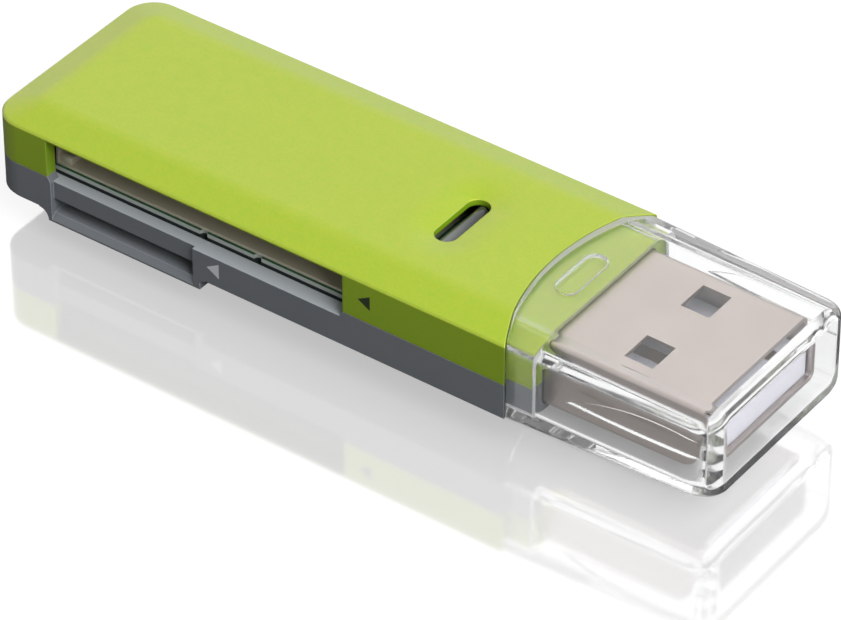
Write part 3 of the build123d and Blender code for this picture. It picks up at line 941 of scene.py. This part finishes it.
@dataclass
class Casing(SubAssembly):
    """Painted upper half, grey lower half and the light pipe in the window."""

    green_arrow: Arrow = Arrow(1.89 * MM, 2.87 * MM, 4.73 * MM, 5.88 * MM, srgb(38, 52, 22))
    grey_arrow: Arrow = Arrow(-10.57 * MM, -9.55 * MM, 1.62 * MM, 2.81 * MM, srgb(225, 228, 232))
    pipe_reach: float = 1.9 * MM

    def dress(self) -> None:
        """Paint the upper half, grain the lower half and smoke the light pipe."""
        # the paint's edge colour is a painted highlight
        paint = FlakePaint(green=(0.26, 0.53, 0.01), deep=(0.23, 0.49, 0.008), gold=(0.76, 0.52, 0.02),
                           edge=(0.75, 0.8, 0.3), arrow=self.green_arrow)
        # the plastic's edge colour is painted highlight on sharp edges and painted light on upward faces
        plastic = SatinPlastic(srgb(118, 122, 128), srgb(128, 132, 136), edge=srgb(196, 202, 208),
                               arrow=self.grey_arrow)
        # the smoke's second colour is painted shade at the pipe's far end
        smoke = SmokedPlastic(srgb(132, 138, 136), srgb(44, 48, 50), -self.pipe_reach, self.pipe_reach)
        self.wardrobe.dress(paint, "top_cover")
        self.wardrobe.dress(plastic, "bottom_cover")
        self.wardrobe.dress(smoke, "light_pipe")


@dataclass
class ClearCap(SubAssembly):
    """The clear cap over the plug."""

    rim_depth: float = 4.0 * MM

    def dress(self) -> None:
        """Polish the cap and leave its end face hazy."""
        rim_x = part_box("cap")[0].x + self.rim_depth
        clear = ClearPlastic(colour=(0.99, 0.995, 0.995), haze=(0.9, 0.92, 0.92), rim_x=rim_x)
        self.wardrobe.dress(clear, "cap")


@dataclass
class Plug(SubAssembly):
    """Folded shell of the plug, its pale insulator and its contacts."""

    steel: PlatedSheet = PlatedSheet(srgb(203, 191, 186), srgb(193, 181, 175), 0.36)

    def dress(self) -> None:
        """Plate the shell and the contacts, and leave the insulator pale."""
        self.wardrobe.dress(self.steel, "plug_shell")
        self.wardrobe.dress(PALE, "plug_insulator")
        self.wardrobe.dress(GOLD, "plug_contacts")


@dataclass
class CardSockets(SubAssembly):
    """Both card sockets, with the two rails that guide the large card along its stepped edges."""

    steel: PlatedSheet = PlatedSheet(srgb(230, 222, 202), srgb(212, 204, 182), 0.5, metal=0.1)
    gauge: float = 0.2 * MM
    rail_width: float = 1.05 * MM
    rail_height: float = 0.6 * MM
    rail_length: float = 5.6 * MM
    mouth_gap: float = 0.1 * MM
    lead_in: float = 0.3 * MM
    lead_in_steps: int = 4
    groove_inset: float = 0.22 * MM
    groove_depth: float = 0.1 * MM
    rounding: float = 0.05 * MM
    rounding_steps: int = 2
    straight_up: float = 0.99
    rails: list[bpy.types.Object] = field(default_factory=list)

    def build(self) -> None:
        """Model one card guide at the rear end of the slot and copy it to the front end."""
        low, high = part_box("large_card_shell")
        corner = Vector((low.x + self.gauge, low.y + self.mouth_gap, low.z + self.gauge))
        size = Vector((self.rail_width, self.rail_length, self.rail_height))
        rail = Bench.block("rear_card_guide", corner, corner + size)
        middle = corner + size / 2
        Bench.pick_edges(rail, lambda spot: spot.z > middle.z and spot.y < middle.y)
        bpy.ops.mesh.bevel(offset=self.lead_in, segments=self.lead_in_steps)
        Bench.pick_faces(rail, lambda normal: normal.z > self.straight_up)
        bpy.ops.mesh.inset(thickness=self.groove_inset)
        bpy.ops.transform.translate(value=(0.0, 0.0, -self.groove_depth))
        Bench.soften(rail, self.rounding, self.rounding_steps)
        shift = Vector((high.x - low.x - 2 * self.gauge - self.rail_width, 0.0, 0.0))
        self.rails = [rail, Bench.copy(rail, "front_card_guide", shift)]
        for made in self.rails:
            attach(made, Body.READER.value)
            LOG.info("modelled %s", made.name)

    def dress(self) -> None:
        """Plate the shells, guides and springs, and leave the carriers black."""
        for rail in self.rails:
            self.wardrobe.hang(self.steel, Slot.SOCKET_STEEL, rail)
        self.wardrobe.dress(self.steel, "large_card_shell", "small_card_shell")
        self.wardrobe.dress(BLACK, "large_card_carrier", "small_card_carrier")
        self.wardrobe.dress(GOLD, "large_card_contacts", "large_card_switches", "small_card_contacts")


@dataclass
class Board(SubAssembly):
    """The circuit board with what is soldered to it."""

    chip_offset: float = 1.3 * MM
    tinned: Colour = srgb(205, 205, 208)

    def dress(self) -> None:
        """Mask the board and finish its chips."""
        low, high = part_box("circuit_board")
        # the laminate's darkest colour is painted shade on the lower part of the board's cut edge
        laminate = Laminate(mask=srgb(22, 74, 44), track=srgb(38, 104, 62), edge=srgb(214, 220, 214),
                            painted_shade_and_fibre=srgb(52, 60, 60), low_z=low.z, high_z=high.z)
        self.wardrobe.dress(laminate, "circuit_board")
        row_low, row_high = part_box("ceramic_capacitors")
        middle = (row_low.x + row_high.x) / 2 + self.chip_offset
        self.wardrobe.dress(EndCapped(srgb(160, 126, 92), self.tinned, middle), "ceramic_capacitors")
        self.wardrobe.dress(EndCapped(srgb(34, 35, 38), self.tinned, middle), "chip_resistors")
        self.wardrobe.dress(SatinPlastic(srgb(196, 140, 50), srgb(214, 160, 70)), "bulk_capacitor")
        self.wardrobe.dress(BLACK, "controller_chip", "regulator")
        self.wardrobe.dress(TIN, "controller_leads", "regulator_leads", "crystal_can")
        self.wardrobe.dress(PALE, "status_light")


@dataclass(frozen=True)
class Softbox:
    """One rectangular soft lamp aimed at the object, sizes in metres, power in watts."""

    name: str
    spot: Triple
    size: tuple[float, float]
    power: float

    def hang(self) -> None:
        """Add the lamp to the scene."""
        data = bpy.data.lights.new(self.name, "AREA")
        data.shape = "RECTANGLE"
        data.size, data.size_y = self.size
        data.energy = self.power
        lamp = bpy.data.objects.new(self.name, data)
        lamp.location = self.spot
        lamp.rotation_euler = (-Vector(self.spot)).to_track_quat("-Z", "Y").to_euler()
        bpy.context.scene.collection.objects.link(lamp)


@dataclass
class Studio:
    """Floor, lights, background and the camera at the photograph's viewing angle."""

    eye: Triple = (166.47 * MM, -227.18 * MM, 220.82 * MM)
    forward: Triple = (-0.4624, 0.6335, -0.6205)
    focal: float = 230.75
    sensor: float = 36.0
    clip: tuple[float, float] = (0.01, 20.0)
    floor_depth: float = 1.84 * MM
    floor_span: float = 4.0
    near_field: tuple[float, float] = (45 * MM, 30 * MM)
    dome: float = 0.18
    bounces: int = 40
    glossy_bounces: int = 32
    clear_bounces: int = 32
    see_through_bounces: int = 24
    lamps: Sequence[Softbox] = (
        Softbox("softbox", (0.42, -0.1, 0.42), (0.5, 0.5), 4.8),
        Softbox("back_panel", (-0.34, 0.46, 0.4), (0.9, 0.5), 0.4),
    )

    def build(self) -> None:
        """Set the view, the floor, the lamps and the world."""
        scene = bpy.context.scene
        scene.view_settings.view_transform = "Standard"
        scene.cycles.max_bounces = self.bounces
        scene.cycles.glossy_bounces = self.glossy_bounces
        scene.cycles.transmission_bounces = self.clear_bounces
        scene.cycles.transparent_max_bounces = self.see_through_bounces
        scene.cycles.caustics_reflective = False
        self._camera()
        self._floor()
        for lamp in self.lamps:
            lamp.hang()
        self._world()
        LOG.info("studio ready")

    def _camera(self) -> None:
        """Place the camera without roll."""
        data = bpy.data.cameras.new("camera")
        data.lens = self.focal
        data.sensor_width = self.sensor
        data.sensor_fit = "HORIZONTAL"
        data.clip_start, data.clip_end = self.clip
        camera = bpy.data.objects.new("camera", data)
        camera.location = self.eye
        camera.rotation_euler = Vector(self.forward).to_track_quat("-Z", "Y").to_euler()
        bpy.context.scene.collection.objects.link(camera)
        bpy.context.scene.camera = camera

    def _floor(self) -> None:
        """Lay the pale floor just under the object."""
        bpy.ops.object.select_all(action="DESELECT")
        bpy.ops.mesh.primitive_plane_add(size=self.floor_span, location=(0, 0, -self.floor_depth))
        floor = bpy.context.object
        floor.name = "floor"
        high = cad_box[1]
        finish = FloorFinish(colour=(0.95, 0.95, 0.95), dull=(0.9, 0.9, 0.9), bounce=(0.16, 0.16, 0.165),
                             foot=(high.x, high.y), near=self.near_field)
        floor.data.materials.append(finish.material("pale_floor"))

    def _world(self) -> None:
        """White background to the camera, mirrors and clear plastic, soft dim light to the rest."""
        world = bpy.data.worlds.new("studio")
        bpy.context.scene.world = world
        world.use_nodes = True
        web = Web(world.node_tree)
        seen = web.any_ray(Ray.CAMERA, Ray.GLOSSY, Ray.TRANSMISSION)
        glow = web.node("ShaderNodeBackground", inputs={
            "Color": WHITE, "Strength": seen * (1 - self.dome) + self.dome})
        web.node("ShaderNodeOutputWorld", inputs={"Surface": web.out(glow)})


def main() -> None:
    """Build and dress every sub-assembly and set the studio."""
    logging.basicConfig(level=logging.INFO, format="%(message)s")
    slots = {part["node"]: Slot(part["material_slot"]) for part in frame["record"]["subparts"]}
    wardrobe = Wardrobe(frame["nodes"], slots)
    for kind in (Casing, ClearCap, Plug, CardSockets, Board):
        group = kind(wardrobe)
        group.build()
        group.dress()
    Studio().build()


if __name__ == "__main__":
    main()
